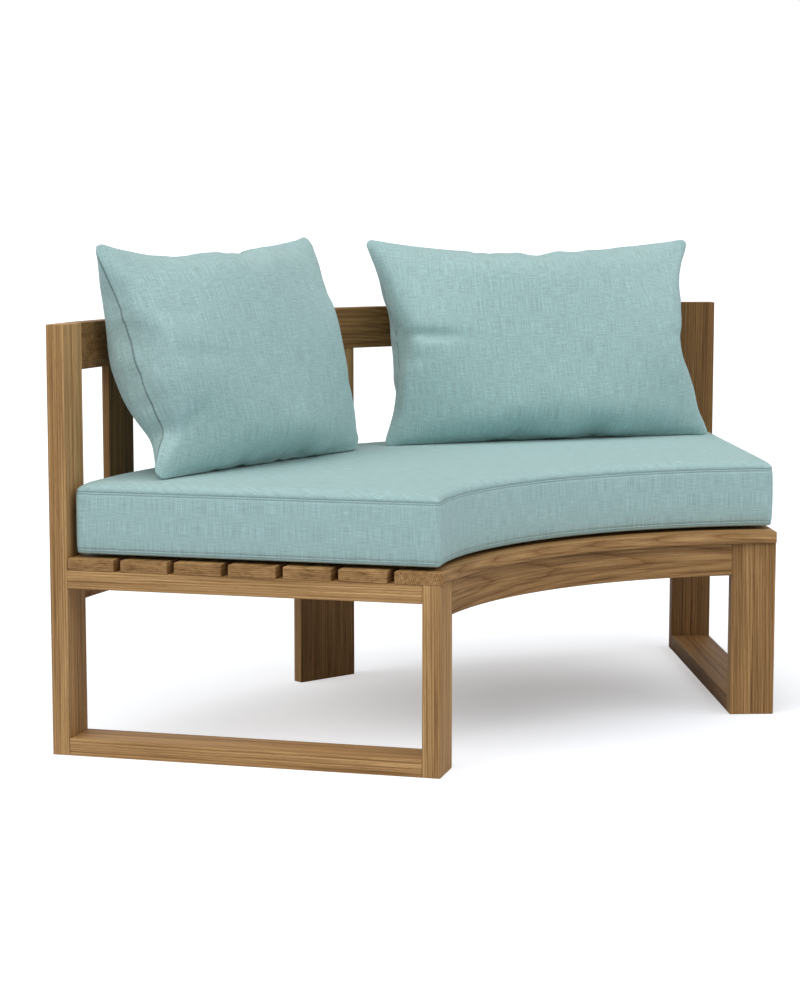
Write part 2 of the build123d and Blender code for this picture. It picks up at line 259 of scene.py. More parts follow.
def oiled_teak():
    """Oiled teak, planed and sanded: growth rings cut by the board's faces, fine fibre streaks and
    short dark pores give the eye a satin brown with lively lines along each board."""
    material = new_material("oiled_teak")
    grain = add_node(material, "ShaderNodeAttribute", attribute_name="grain").outputs["Vector"]
    tone = add_node(material, "ShaderNodeAttribute", attribute_name="tone").outputs["Fac"]

    def drawn_out(width, length):
        """Noise drawn out along the grain, as wide and as long as given."""
        return noise(material, grain, (1 / length, 1 / width, 1 / width), 2.0)

    # Rings wander by a few millimetres over a few hundred along the trunk
    rings = add_node(
        material,
        "ShaderNodeTexWave",
        {"Vector": scaled(material, grain, (0.03, 1, 1))},
        wave_type="RINGS",
        rings_direction="X",
        wave_profile="SAW",
        Scale=ONE_WAVE / sizes().ring_spacing,
        Distortion=4.0,
        Detail=2.0,
        Detail_Scale=0.5,
        Detail_Roughness=0.5,
    ).outputs["Fac"]
    bands = drawn_out(12 * MM, 700 * MM)
    streaks = drawn_out(3.4 * MM, 260 * MM)
    fibres = drawn_out(1.5 * MM, 90 * MM)
    # Pores 1.5 mm wide and about 25 mm long, drawn wider than real so that they show
    pores = add_node(
        material,
        "ShaderNodeTexVoronoi",
        {"Vector": scaled(material, grain, (40, 650, 650))},
        Scale=1.0,
    ).outputs["Distance"]

    dark, light = tuple(colours().teak_dark), tuple(colours().teak_light)

    def between(share):
        return tuple(a + (b - a) * share for a, b in zip(dark, light))

    ring_colours = [(0.0, between(0.25)), (0.15, between(0.7)), (0.4, light), (1.0, between(0.65))]
    colour = multiplied(material, (
        ramp(material, rings, ring_colours),
        ramp(material, bands, [(0.3, brown(0.66)), (0.7, brown(1.16))]),
        ramp(material, streaks, [(0.3, brown(0.56)), (0.48, brown(0.98)), (0.72, brown(1.14))]),
        ramp(material, fibres, [(0.3, brown(0.74)), (0.7, brown(1.14))]),
        ramp(material, pores, [(0.12, brown(0.7)), (0.3, brown(1.0))]),
        # Each board's tone, partly its own colour and partly painted light and shade
        ramp(material, tone, [(0.0, brown(0.56)), (1.0, brown(1.3))]),
    ))
    rough = add_node(
        material, "ShaderNodeMapRange", {"Value": fibres}, To_Min=0.5, To_Max=0.68
    ).outputs["Result"]
    height = combined(material, "ADD", fibres, pores)
    bump = add_node(
        material, "ShaderNodeBump", {"Height": height}, Strength=0.25, Distance=0.3 * MM
    ).outputs["Normal"]
    shader = add_node(
        material,
        "ShaderNodeBsdfPrincipled",
        {"Base Color": colour, "Roughness": rough, "Normal": bump},
        IOR=1.45,
        Specular_IOR_Level=0.3,
    )
    return finish_material(material, shader)


def woven_fabric():
    """Woven outdoor fabric of spun acrylic: a linen-like plain weave with thicker slub threads both
    ways, which the eye reads as soft, matt, slightly mottled aqua, with shade painted darker in the
    seams."""
    material = new_material("woven_outdoor_fabric")
    cloth = add_node(material, "ShaderNodeAttribute", attribute_name="cloth").outputs["Vector"]
    seam = add_node(material, "ShaderNodeAttribute", attribute_name="seam").outputs["Fac"]
    spacing = sizes().thread_spacing
    threads = [
        add_node(
            material,
            "ShaderNodeTexWave",
            {"Vector": cloth},
            wave_type="BANDS",
            bands_direction=direction,
            wave_profile="SIN",
            Scale=ONE_WAVE / spacing,
            Distortion=0.8,
            Detail=1.0,
            Detail_Scale=0.3,
        ).outputs["Fac"]
        for direction in ("X", "Y")
    ]
    weave = combined(material, "MULTIPLY", *threads)
    # Slubs a little over a thread wide, upright ones 36 mm long and level ones 25 mm, and a mottle
    # of single stitches
    slub, stitch = 1 / (1.2 * spacing), 1 / spacing
    upright = noise(material, cloth, (slub, 28, 28), 0.0)
    level = noise(material, cloth, (40, slub, 40), 0.0)
    mottle = noise(material, cloth, (stitch, stitch, stitch), 0.0)

    plain = tuple(colours().fabric)
    # Painted shade in the seams: the colour darkens to about a third where the seam attribute is
    # full
    painted_seam_shade = tuple(0.34 * channel for channel in plain[:3]) + (1,)
    colour = multiplied(material, (
        ramp(material, seam, [(0.0, plain), (1.0, painted_seam_shade)]),
        ramp(material, upright, [(0.25, grey(0.89)), (0.75, grey(1.11))]),
        ramp(material, level, [(0.25, grey(0.91)), (0.75, grey(1.09))]),
        ramp(material, mottle, [(0.25, grey(0.86)), (0.75, grey(1.14))]),
        ramp(material, weave, [(0.0, grey(0.95)), (0.8, grey(1.04))]),
    ))
    height = combined(material, "ADD", weave, upright)
    bump = add_node(
        material, "ShaderNodeBump", {"Height": height}, Strength=0.2, Distance=0.15 * MM
    ).outputs["Normal"]
    shader = add_node(
        material,
        "ShaderNodeBsdfPrincipled",
        {"Base Color": colour, "Normal": bump},
        Roughness=0.92,
        IOR=1.4,
        Sheen_Weight=0.15,
        Sheen_Roughness=0.5,
    )
    return finish_material(material, shader)


def shared_fabric():
    """The one fabric that the cushion and the pillows are covered in."""
    return bpy.data.materials.get("woven_outdoor_fabric") or woven_fabric()


# Shared shaping

def save_piece(shape, name, material, body, replaced):
    """Turns a bmesh into the finished piece: material, body, and the CAD node it stands for."""
    mesh = bpy.data.meshes.new(name)
    shape.to_mesh(mesh)
    shape.free()
    mesh.materials.append(material)
    piece = bpy.data.objects.new(name, mesh)
    bpy.context.scene.collection.objects.link(piece)
    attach(piece, body)
    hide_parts(replaced)
    return piece


def point_attribute(mesh, name, kind, values):
    """Saves one value, or one place as three numbers, for each of a mesh's points."""
    attribute = mesh.attributes.new(name, kind, "POINT")
    key = "vector" if kind == "FLOAT_VECTOR" else "value"
    attribute.data.foreach_set(key, values)


# Teak frame

def board_directions(node):
    """Which way the grain runs in a board, and the way through its thickness."""
    end_angle = -HALF_ANGLE if node.startswith("left") else HALF_ANGLE
    low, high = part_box(node)
    middle = (low + high) / 2 - RING_CENTRE
    angle = atan2(middle.x, middle.y)
    if "post" in node or "front_leg" in node:
        return UP, outwards(end_angle)
    if "centre_leg" in node or "stave" in node:
        return UP, outwards(angle)
    if "seat_rail" in node or "floor_rail" in node:
        return outwards(end_angle), along_arc(end_angle)
    if "bearer" in node:
        return outwards(angle), UP
    if "back_apron" in node:
        return along_arc(angle), outwards(angle)
    if "slat" in node:
        return Vector((1, 0, 0)), UP
    return Vector((1, 0, 0)), Vector((0, 1, 0))


def sawn_from(node, chance):
    """Where in the trunk a board was sawn: its middle's distance from the pith through and across
    the board, and how much the trunk leans each way for each metre along it."""
    curved = "slat" in node or node == "front_apron"
    if curved:
        from_pith, aside = chance.uniform(150, 260) * MM, chance.uniform(-30, 30) * MM
    else:
        from_pith = chance.uniform(70, 150) * MM
        aside = (chance.choice((-1, 1)) * chance.uniform(60, 130)) * MM
    start = chance.uniform(0, 4)
    lean_across = chance.uniform(-0.012, 0.012)
    lean_through = chance.uniform(-0.014, 0.014)
    # The curved front faces lie close to the pith and show arches
    if node == "deck_slat_1":
        from_pith, aside, lean_across, lean_through = -3 * MM, 58 * MM, 0.024, 0
    if node == "front_apron":
        from_pith, aside, lean_across, lean_through = 46 * MM, 8 * MM, 0, 0.02
    return from_pith, aside, start, lean_across, lean_through


def grain_places(points, node, chance):
    """Each point's place in the trunk that the board was sawn from, with the trunk along x."""
    along, through = board_directions(node)
    across = through.cross(along)
    low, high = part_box(node)
    middle = (low + high) / 2
    curved = "slat" in node or node == "front_apron"
    from_pith, aside, start, lean_across, lean_through = sawn_from(node, chance)
    # Most slats' ends are cut across rings that lie almost level
    flattened = 0.15 if "slat" in node and node != "deck_slat_1" else 1
    edge_radius = high.x / sin(HALF_ANGLE)
    places = []
    for point in points:
        offset = point - middle
        if curved:
            # Boards sawn to a curve are picked so that the grain follows it
            reach = point - RING_CENTRE
            angle = atan2(reach.x, reach.y)
            offset = Vector((angle * edge_radius, reach.xy.length - edge_radius, offset.z))
        x = offset.dot(along)
        places += [
            x + start,
            offset.dot(across) * flattened + aside + lean_across * x,
            offset.dot(through) + from_pith + lean_through * x,
        ]
    return places


# Boards picked darker or lighter than the rest: part of the name, and tone from 0 to 1; the first
# part that is in a board's name counts. Only part of this is the boards' own tone: the darker
# posts, rails and staves at the back and the right floor rail carry painted shade where the pillows
# and the seat shade them, and the lighter left end carries painted light where the key lamp falls.
BOARD_TONES_AND_SHADE = (
    ("right_back_post", 0.0),
    ("back_rail", 0.0),
    ("back_stave", 0.0),
    ("right_floor_rail", 0.15),
    ("right_front_leg", 0.33),
    ("centre_leg", 0.7),
    ("back_apron", 0.3),
    ("front_apron", 0.33),
    ("left_front_leg", 0.85),
    ("left_", 0.97),
    ("deck_slat_1", 0.62),
)


def board_tone_and_shade(node, chance):
    """Tone of a board, painted light and shade included: the picked one, give or take a little."""
    picked = [tone for part, tone in BOARD_TONES_AND_SHADE if part in node]
    return (picked[0] if picked else 0.5) + chance.uniform(-0.06, 0.06)


# An edge that turns by more than this stays visible as an edge
SHARP = radians(40)


def eased_board(node, ease):
    """Copy of a CAD board, with its loose triangles merged and its outer edges eased."""
    shape = bmesh.new()
    shape.from_mesh(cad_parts[node].data)
    bmesh.ops.remove_doubles(shape, verts=shape.verts, dist=0.001 * MM)
    bmesh.ops.dissolve_limit(shape, angle_limit=radians(0.4), verts=shape.verts, edges=shape.edges)
    sharp = [
        edge for edge in shape.edges
        if edge.is_manifold and edge.is_convex and edge.calc_face_angle() > SHARP
    ]
    eased = bmesh.ops.bevel(
        shape,
        geom=sharp,
        offset=ease,
        offset_type="OFFSET",
        segments=2,
        profile=0.5,
        affect="EDGES",
        clamp_overlap=True,
        material=-1,
    )
    rounded = set(eased["faces"])
    for face in shape.faces:
        face.smooth = True
    for edge in shape.edges:
        sides = {face in rounded for face in edge.link_faces}
        edge.smooth = len(sides) == 1 and edge.calc_face_angle(0) < SHARP
    return shape


class BENCH_OT_timber(bpy.types.Operator):
    """Dress the frame's boards in oiled teak with eased edges"""

    bl_idname = "bench.timber"
    bl_label = "Teak frame"

    def execute(self, context):
        teak = oiled_teak()
        chance = random.Random(11)
        for node in sorted(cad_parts):
            if "cushion" in node or "pillow" in node:
                continue
            shape = eased_board(node, sizes().edge_ease)
            points = [vertex.co.copy() for vertex in shape.verts]
            piece = save_piece(shape, "teak_" + node, teak, "frame", node)
            point_attribute(piece.data, "grain", "FLOAT_VECTOR", grain_places(points, node, chance))
            # Tone for each board, which also paints light and shade over whole boards
            point_attribute(piece.data, "tone", "FLOAT", [board_tone_and_shade(node, chance)] * len(points))
        return {"FINISHED"}


# Seat cushion

def steps(start, end, fine, coarse, reach):
    """Places from start to end, close together near both ends and wider between."""
    places = [start]
    while places[-1] < end:
        nearest = min(places[-1] - start, end - places[-1])
        share = min(1, max(0, nearest / reach))
        places.append(places[-1] + fine + (coarse - fine) * share)
    stretch = (end - start) / (places[-1] - start)
    return [start + (place - start) * stretch for place in places]


def roll_share(distance, reach):
    """Quarter ellipse: 0 at the edge, 1 from the reach inwards."""
    t = 1 - min(1, max(0, distance / reach))
    return sqrt(max(0, 1 - t * t))


class CushionPlan:
    """The cushion's form: a ring sector with ends cut parallel to the frame's ends and rounded
    corners, and the heights above its underside."""

    inner, outer = 680 * MM, 1284.5 * MM
    end_margin = 13 * MM
    corner = 10 * MM
    # The whole cushion lies a little to the right, so its right back corner goes about 7 mm into
    # the post there, and its left end is drawn out to the left
    slip = 14 * MM
    left_reach, ear = 10 * MM, 9 * MM

    low_edge, high_edge = 9.4 * MM, 109.1 * MM
    shoulder, crown = 123 * MM, 126.5 * MM
    top_roll, bottom_roll = 30 * MM, 9 * MM
    # The underside is raised along the edge and comes down to the deck further in
    lift, lift_from, lift_run = 5.5 * MM, 30 * MM, 30 * MM
    side_swell = 1.6 * MM

    def __init__(self):
        self.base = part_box("seat_cushion")[0].z

    def half(self, radius):
        """Angle from the middle to an end, at a radius."""
        return HALF_ANGLE - asin(self.end_margin / radius)

    def to_edges(self, radius, share):
        """Distances to the nearer of front and back, and to the nearer end."""
        radial = min(radius - self.inner, self.outer - radius)
        return radial, (1 - abs(share)) * self.half(radius) * radius

    def place(self, radius, share):
        """Point of the plan at a radius, and at a share from -1 to 1 of the half angle."""
        angle = share * self.half(radius)
        radial, to_end = self.to_edges(radius, share)
        if radial < self.corner and to_end < self.corner:
            x = 1 - radial / self.corner
            y = 1 - to_end / self.corner
            x, y = x * sqrt(1 - y * y / 2), y * sqrt(1 - x * x / 2)
            at_front = radius - self.inner < self.outer - radius
            radial = self.corner * (1 - x)
            radius = self.inner + radial if at_front else self.outer - radial
            angle = self.half(radius) - self.corner * (1 - y) / radius
            angle *= 1 if share > 0 else -1
        left = max(0, -share - 0.6) / 0.4
        backwards = (radius - self.inner) / (self.outer - self.inner)
        radius -= self.ear * left ** 2 * (1 - backwards)
        angle -= self.left_reach * left ** 2 / radius
        spot = RING_CENTRE + outwards(angle) * radius
        spot.x += self.slip
        return spot

    def top(self, full, swell, inset):
        """Height of the top: full is 1 inside the rolled edge, swell 1 in the middle."""
        rise = (self.shoulder - self.high_edge) * full
        return self.high_edge + rise + (self.crown - self.shoulder) * swell * full

    def bottom(self, full, swell, inset):
        """Height of the underside: inset is 1 where it lies on the deck."""
        return self.low_edge * (1 - full) + self.lift * full * (1 - inset) ** 2

    def side_levels(self):
        """Up the side: height, how far out in seam depths, and how much shade is painted into a
        seam from 0 to 1.
        """
        stitch, shore = sizes().stitch_distance, 1.1 * MM
        low, high = self.low_edge + shore, self.high_edge - shore
        low_stitch, high_stitch = low + stitch, high - stitch
        first, last, between = low_stitch + 4 * MM, high_stitch - 4 * MM, 12
        return [
            (low, -0.8, 0.35),
            (low + shore, 0, 0),
            (low_stitch - shore, 0.1, 0),
            (low_stitch, -0.6, 0.3),
            (low_stitch + shore, 0.1, 0),
            *((first + (last - first) * k / between, 0.3, 0) for k in range(between + 1)),
            (high_stitch - shore, 0.1, 0),
            (high_stitch, -0.6, 0.35),
            (high_stitch + shore, 0.1, 0),
            (high - shore, 0, 0),
            (high, -0.9, 0.55),
        ]


class BENCH_OT_cushion(bpy.types.Operator):
    """Make the seat cushion with its crown, band and twin seams"""

    bl_idname = "bench.cushion"
    bl_label = "Seat cushion"

    # Distances between the mesh's rows near an edge and in the middle, and how far near reaches
    cells = 2.5 * MM, 9 * MM, 40 * MM
    middle_radius = 980 * MM

    def execute(self, context):
        plan = CushionPlan()
        radii = steps(plan.inner, plan.outer, *self.cells)
        arc = plan.half(self.middle_radius) * self.middle_radius
        shares = [place / arc for place in steps(-arc, arc, *self.cells)]

        shape = bmesh.new()
        shape.verts.layers.float_vector.new("cloth")
        # The seam layer holds the shade painted along the seams and stitching
        shape.verts.layers.float.new("seam")
        top = self.panel(shape, plan, radii, shares, plan.top, plan.top_roll, 0)
        bottom = self.panel(shape, plan, radii, shares, plan.bottom, plan.bottom_roll, 3)
        self.band(shape, plan, self.rim(bottom), self.rim(top))
        for i in range(len(radii) - 1):
            for j in range(len(shares) - 1):
                shape.faces.new((top[i][j], top[i][j + 1], top[i + 1][j + 1], top[i + 1][j]))
                shape.faces.new(
                    (bottom[i][j], bottom[i + 1][j], bottom[i + 1][j + 1], bottom[i][j + 1])
                )
        bmesh.ops.recalc_face_normals(shape, faces=shape.faces)
        for face in shape.faces:
            face.smooth = True
        piece = save_piece(
            shape, "cushion_seat", shared_fabric(), "seat_cushion", "seat_cushion"
        )
        return {"FINISHED"}

    def panel(self, shape, plan, radii, shares, height, roll, number):
        """Grid of vertices over the plan, by row and column; the number sets its weave apart."""
        cloth = shape.verts.layers.float_vector["cloth"]
        grid = []
        for radius in radii:
            line = []
            for share in shares:
                spot = plan.place(radius, share)
                radial, to_end = plan.to_edges(radius, share)
                full = roll_share(radial, roll) * roll_share(to_end, roll)
                middle = (radius - plan.inner) / (plan.outer - plan.inner) * 2 - 1
                swell = (1 - middle ** 2) * (1 - abs(share) ** 6)
                inset = min(1, max(0, (min(radial, to_end) - plan.lift_from) / plan.lift_run))
                level = height(full, swell, inset)
                vertex = shape.verts.new((spot.x, spot.y, plan.base + level))
                # The cloth's own places run on over the rolled edge
                if radial < to_end:
                    over = outwards(share * HALF_ANGLE) * (1 if middle > 0 else -1)
                else:
                    over = along_arc(share * HALF_ANGLE) * (1 if share > 0 else -1)
                spot += over * abs(height(1, swell, inset) - level)
                vertex[cloth] = (spot.x, spot.y, number)
                line.append(vertex)
            grid.append(line)
        return grid

    def rim(self, grid):
        """The grid's outer vertices, once round."""
        return (
            grid[0][:-1]
            + [line[-1] for line in grid[:-1]]
            + grid[-1][:0:-1]
            + [line[0] for line in grid[:0:-1]]
        )

    def band(self, shape, plan, low_rim, high_rim):
        """The side between the two panels, with its seams and the stitching beside them, and shade
        painted along them.
        """
        cloth = shape.verts.layers.float_vector["cloth"]
        seam = shape.verts.layers.float["seam"]
        count = len(high_rim)
        points = [vertex.co.copy() for vertex in high_rim]
        normals, travelled = [], [0.0]
        for k in range(count):
            tangent = points[(k + 1) % count] - points[k - 1]
            normals.append(Vector((tangent.y, -tangent.x, 0)).normalized())
            travelled.append(travelled[-1] + (points[(k + 1) % count] - points[k]).length)
        loops = [low_rim]
        for height, push, seam_shade in plan.side_levels():
            share = (height - plan.low_edge) / (plan.high_edge - plan.low_edge)
            swell = plan.side_swell * (1 - (2 * share - 1) ** 2)
            loop = []
            for k in range(count):
                # The back swells less, because the posts are close behind it
                backwards = max(0, normals[k].dot((points[k] - RING_CENTRE).normalized()))
                out = swell * (1 - 0.8 * backwards) + push * sizes().seam_depth
                spot = points[k] + normals[k] * out
                vertex = shape.verts.new((spot.x, spot.y, plan.base + height))
                vertex[cloth] = (travelled[k], height, 1)
                # Painted shade along the seams and the stitching
                vertex[seam] = seam_shade
                loop.append(vertex)
            loops.append(loop)
        loops.append(high_rim)
        for lower, upper in zip(loops, loops[1:]):
            for k in range(count):
                after = (k + 1) % count
                shape.faces.new((lower[k], lower[after], upper[after], upper[k]))


# Scatter pillows

# Each pillow: CAD node, angle round the ring and lean in degrees, radius of its foot, width, radius
# of its corners, volume in litres, how its front and back swell (1 as filled, less is fuller at
# the seam), seam corners from the middle of the foot, and how far each side of the seam is drawn
# in, as (share along the side, millimetres). Corners and sides go round from the bottom left.
# A dent is x, y, half length, half width, turn and depth; a pinch is x, y, reach and depth.
PILLOWS = (
    {
        "node": "left_pillow",
        "angle": -17.5,
        "lean": 17.0,
        "radius": 1107.8,
        "width": 590.0,
        "corner": 28.0,
        "litres": 23.0,
        "front": 1.15,
        "back": 0.9,
        "corners": ((-321, 12), (287, 8), (291, 414), (-325, 410)),
        "draws": (
            ((0, 0), (0.08, -5), (0.25, -6), (0.5, -4), (0.75, -6), (0.93, -5), (1, 0)),
            (
                (0, 0), (0.15, 16), (0.3, 36), (0.4, 51), (0.5, 55), (0.62, 46),
                (0.7, 38), (0.77, 33), (0.82, 20), (0.9, 5), (1, 0),
            ),
            ((0, 0), (0.12, 9), (0.35, 25), (0.55, 31), (0.75, 27), (0.9, 12), (1, 0)),
            (
                (0, 0), (0.17, 16), (0.25, 25), (0.37, 29), (0.53, 34), (0.68, 40),
                (0.8, 52), (0.9, 30), (1, 0),
            ),
        ),
        "dents": (
            (-215, 192, 70, 16, -8, 3.5),
            (-235, 268, 50, 12, -4, 2.5),
            (-228, 96, 34, 13, 40, 6),
            (-130, 36, 60, 20, 10, 2),
            (212, 120, 50, 14, 20, 3),
            (216, 290, 50, 14, -14, 3),
        ),
        "pinches": (
            (-262, 84, 18, 10),
            (238, 296, 18, 9),
            (238, 226, 15, 6),
            (240, 150, 16, 8),
            (60, 4, 20, 3),
        ),
    },
    {
        "node": "right_pillow",
        "angle": 17.5,
        "lean": 14.5,
        "radius": 1119.1,
        "width": 680.0,
        "corner": 18.0,
        "litres": 27.0,
        "front": 0.95,
        "back": 1.35,
        "corners": ((-345, -1), (347, 2), (347, 401), (-346, 404)),
        "draws": (
            ((0, 0), (0.25, 5), (0.47, 8), (0.75, 5), (1, 0)),
            (
                (0, 0), (0.12, 19), (0.25, 38), (0.38, 58), (0.45, 65),
                (0.52, 62), (0.62, 55), (0.78, 40), (0.9, 18), (1, 0),
            ),
            ((0, 0), (0.15, 11), (0.3, 22), (0.5, 31), (0.7, 25), (0.85, 14), (1, 0)),
            ((0, 0), (0.12, 15), (0.25, 29), (0.5, 45), (0.75, 36), (0.88, 19), (1, 0)),
        ),
        "dents": (
            (-262, 202, 56, 9, -5, 12),
            (-292, 160, 24, 8, -4, 4),
            (258, 192, 36, 11, 6, 4),
            (-18, 30, 12, 26, 0, 4),
            (12, 345, 14, 34, 0, 4),
        ),
        "pinches": ((-308, 190, 13, 5), (290, 184, 12, 13), (14, 372, 16, 4)),
    },
)
PILLOW_HEIGHT = 400 * MM
PILLOW_HALF_THICKNESS = 90 * MM
PILLOW_CELL = 8 * MM
# The flat panels are cut with bowed sides and tops, and start this far from flat in the middle
SIDE_BOW, TOP_BOW, PUFF = -8 * MM, 22 * MM, 12 * MM
FILLING_FRAMES = 24
# Shares of the panel from its middle: the seam itself, and the part that is smoothed most
ON_SEAM, SMOOTHED = 0.9999, 0.86


def curve_through(table, place):
    """Smooth value at a place, through (place, value) pairs."""
    for i in range(len(table) - 1):
        if place <= table[i + 1][0]:
            break
    (x1, y1), (x2, y2) = table[i], table[i + 1]
    x0, y0 = table[max(i - 1, 0)]
    x3, y3 = table[min(i + 2, len(table) - 1)]
    slope1 = (y2 - y0) / (x2 - x0)
    slope2 = (y3 - y1) / (x3 - x1)
    span = x2 - x1
    t = (place - x1) / span
    return (
        y1 * (1 + 2 * t) * (1 - t) ** 2
        + slope1 * span * t * (1 - t) ** 2
        + y2 * t * t * (3 - 2 * t)
        - slope2 * span * t * t * (1 - t)
    )


def panel_place(u, v, width, height, corner):
    """Place in a flat panel with rounded corners, from shares of -1 to 1 across and up."""
    x, y = abs(u) * width / 2, abs(v) * height / 2
    from_side, from_top = width / 2 - x, height / 2 - y
    if from_side < corner and from_top < corner:
        a, b = 1 - from_side / corner, 1 - from_top / corner
        a, b = a * sqrt(1 - b * b / 2), b * sqrt(1 - a * a / 2)
        x, y = width / 2 - corner * (1 - a), height / 2 - corner * (1 - b)
    return Vector((x if u > 0 else -x, y if v > 0 else -y))


def sewn_panels(width, corner):
    """Two flat panels sewn together round their rim, a little apart in the middle."""
    shape = bmesh.new()
    place = shape.verts.layers.float_vector.new("place")
    across, up = round(width / PILLOW_CELL), round(PILLOW_HEIGHT / PILLOW_CELL)
    bmesh.ops.create_grid(shape, x_segments=across, y_segments=up, size=1)
    for vertex in shape.verts:
        u, v = vertex.co.x, vertex.co.y
        vertex[place] = (u, v, 1)
        spot = panel_place(u, v, width, PILLOW_HEIGHT, corner)
        spot.x += u * SIDE_BOW * (1 - v * v)
        spot.y += v * TOP_BOW * (1 - u * u)
        vertex.co = (spot.x, spot.y, PUFF * (1 - u * u) * (1 - v * v))
    front = shape.verts[:] + shape.edges[:] + shape.faces[:]
    back = bmesh.ops.duplicate(shape, geom=front)["geom"]
    for item in back:
        if isinstance(item, bmesh.types.BMVert):
            item.co.z *= -1
            item[place] = (item[place].x, item[place].y, -1)
    back_faces = [item for item in back if isinstance(item, bmesh.types.BMFace)]
    bmesh.ops.reverse_faces(shape, faces=back_faces)
    bmesh.ops.remove_doubles(shape, verts=shape.verts, dist=0.01 * MM)
    return shape


def filled(shape, litres):
    """Swells the sewn panels to the pillow's volume with a cloth simulation."""
    mesh = bpy.data.meshes.new("filling")
    shape.to_mesh(mesh)
    shape.free()
    piece = bpy.data.objects.new("filling", mesh)
    scene = bpy.context.scene
    scene.collection.objects.link(piece)
    cloth = piece.modifiers.new("filling", "CLOTH")
    settings = cloth.settings
    settings.quality = 5
    settings.mass = 0.2
    settings.tension_stiffness = settings.compression_stiffness = 20
    settings.shear_stiffness = 5
    settings.bending_stiffness = 0.8
    settings.tension_damping = settings.compression_damping = settings.shear_damping = 25
    settings.bending_damping = 1
    settings.air_damping = 5
    settings.use_pressure = True
    settings.uniform_pressure_force = 0
    settings.use_pressure_volume = True
    settings.target_volume = litres / 1000
    settings.pressure_factor = 5
    settings.effector_weights.gravity = 0
    cloth.point_cache.frame_end = FILLING_FRAMES
    for number in range(1, FILLING_FRAMES + 1):
        scene.frame_set(number)
    final = piece.evaluated_get(bpy.context.evaluated_depsgraph_get())
    swollen = bpy.data.meshes.new_from_object(final)
    bpy.data.objects.remove(piece)
    scene.frame_set(1)
    shape = bmesh.new()
    shape.from_mesh(swollen)
    return shape


class PillowSeam:
    """The outline that a pillow's seam settles to, and the moves that bring the panels to it."""

    # Places to each side over which the filled rim is evened out
    evened = 4

    def __init__(self, plan):
        self.plan = plan
        self.corners = [Vector(corner) * MM for corner in plan["corners"]]
        self.width = plan["width"] * MM
        self.corner = plan["corner"] * MM

    def side_point(self, side, share):
        """Point on a side of the seam: bottom, right, top, left, each from its first corner on."""
        start, end = self.corners[side], self.corners[(side + 1) % 4]
        run = (end - start).normalized()
        inwards = Vector((-run.y, run.x))
        draw = curve_through(self.plan["draws"][side], share) * MM
        return start.lerp(end, share) + inwards * draw

    def target(self, u, v):
        """Where a point of the rim goes: on the drawn-in side, with the corner rounded."""
        if abs(v) == 1:
            side, share = (0, (u + 1) / 2) if v < 0 else (2, (1 - u) / 2)
        else:
            side, share = (1, (v + 1) / 2) if u > 0 else (3, (1 - v) / 2)
        straight = Vector((u * self.width / 2, v * PILLOW_HEIGHT / 2))
        rounded = panel_place(u, v, self.width, PILLOW_HEIGHT, self.corner)
        return self.side_point(side, share) + rounded - straight

    def rim_moves(self, rim):
        """How far each place along one side of the rim has to move, by its share of the side."""
        keys = sorted(rim)
        moves = {}
        for i, key in enumerate(keys):
            reach = min(self.evened, i, len(keys) - 1 - i)
            near = [rim[keys[k]][0] for k in range(i - reach, i + reach + 1)]
            middle = sum((vertex.co.xy for vertex in near), Vector((0, 0))) / len(near)
            moves[key] = self.target(*rim[key][1]) - middle
        return moves

    def settle(self, shape):
        """Moves the seam to its outline, carries the panels along and sets their thickness."""
        place = shape.verts.layers.float_vector["place"]
        shares = [(round(vertex[place].x, 4), round(vertex[place].y, 4)) for vertex in shape.verts]
        foot, right, top, left = {}, {}, {}, {}
        for vertex, (u, v) in zip(shape.verts, shares):
            if abs(v) == 1:
                (foot if v < 0 else top)[u] = vertex, (u, v)
            if abs(u) == 1:
                (left if u < 0 else right)[v] = vertex, (u, v)
        foot, right, top, left = (self.rim_moves(rim) for rim in (foot, right, top, left))
        highest = max(vertex.co.z for vertex in shape.verts)
        lowest = min(vertex.co.z for vertex in shape.verts)
        for vertex, (u, v) in zip(shape.verts, shares):
            s, t = (u + 1) / 2, (v + 1) / 2
            shift = foot[u] * (1 - t) + top[u] * t
            shift += left[v] * (1 - s) + right[v] * s
            shift -= foot[-1] * (1 - s) * (1 - t) + foot[1] * s * (1 - t)
            shift -= top[-1] * (1 - s) * t + top[1] * s * t
            vertex.co.xy += shift
            front = vertex.co.z > 0
            full = vertex.co.z / (highest if front else lowest)
            swell = PILLOW_HALF_THICKNESS * full ** self.plan["front" if front else "back"]
            vertex.co.z = swell if front else -swell

    def dent(self, shape):
        """Presses the photographed dents into the front and gathers the seam at its pinches."""
        place = shape.verts.layers.float_vector["place"]
        for x, y, length, width, turn, depth in self.plan["dents"]:
            run = Vector((cos(radians(turn)), sin(radians(turn))))
            for vertex in shape.verts:
                if vertex[place].z < 0:
                    continue
                offset = vertex.co.xy / MM - Vector((x, y))
                a = offset.dot(run) / length
                b = (offset.y * run.x - offset.x * run.y) / width
                vertex.co.z -= depth * MM * exp(-a * a - b * b)
        for x, y, reach, depth in self.plan["pinches"]:
            centre = Vector((x, y)) * MM
            if abs(x) < 200:
                inwards = Vector((0, 1 if y < 200 else -1))
            else:
                inwards = Vector((1 if x < 0 else -1, 0))
            for vertex in shape.verts:
                away = (vertex.co.xy - centre).length / (reach * MM)
                level = abs(vertex.co.z) / (2 * reach * MM)
                vertex.co.xy += inwards * depth * MM * exp(-away * away - level * level)


def from_middle(vertex, place):
    """Share of the way from a panel's middle to its rim."""
    return max(abs(vertex[place].x), abs(vertex[place].y))


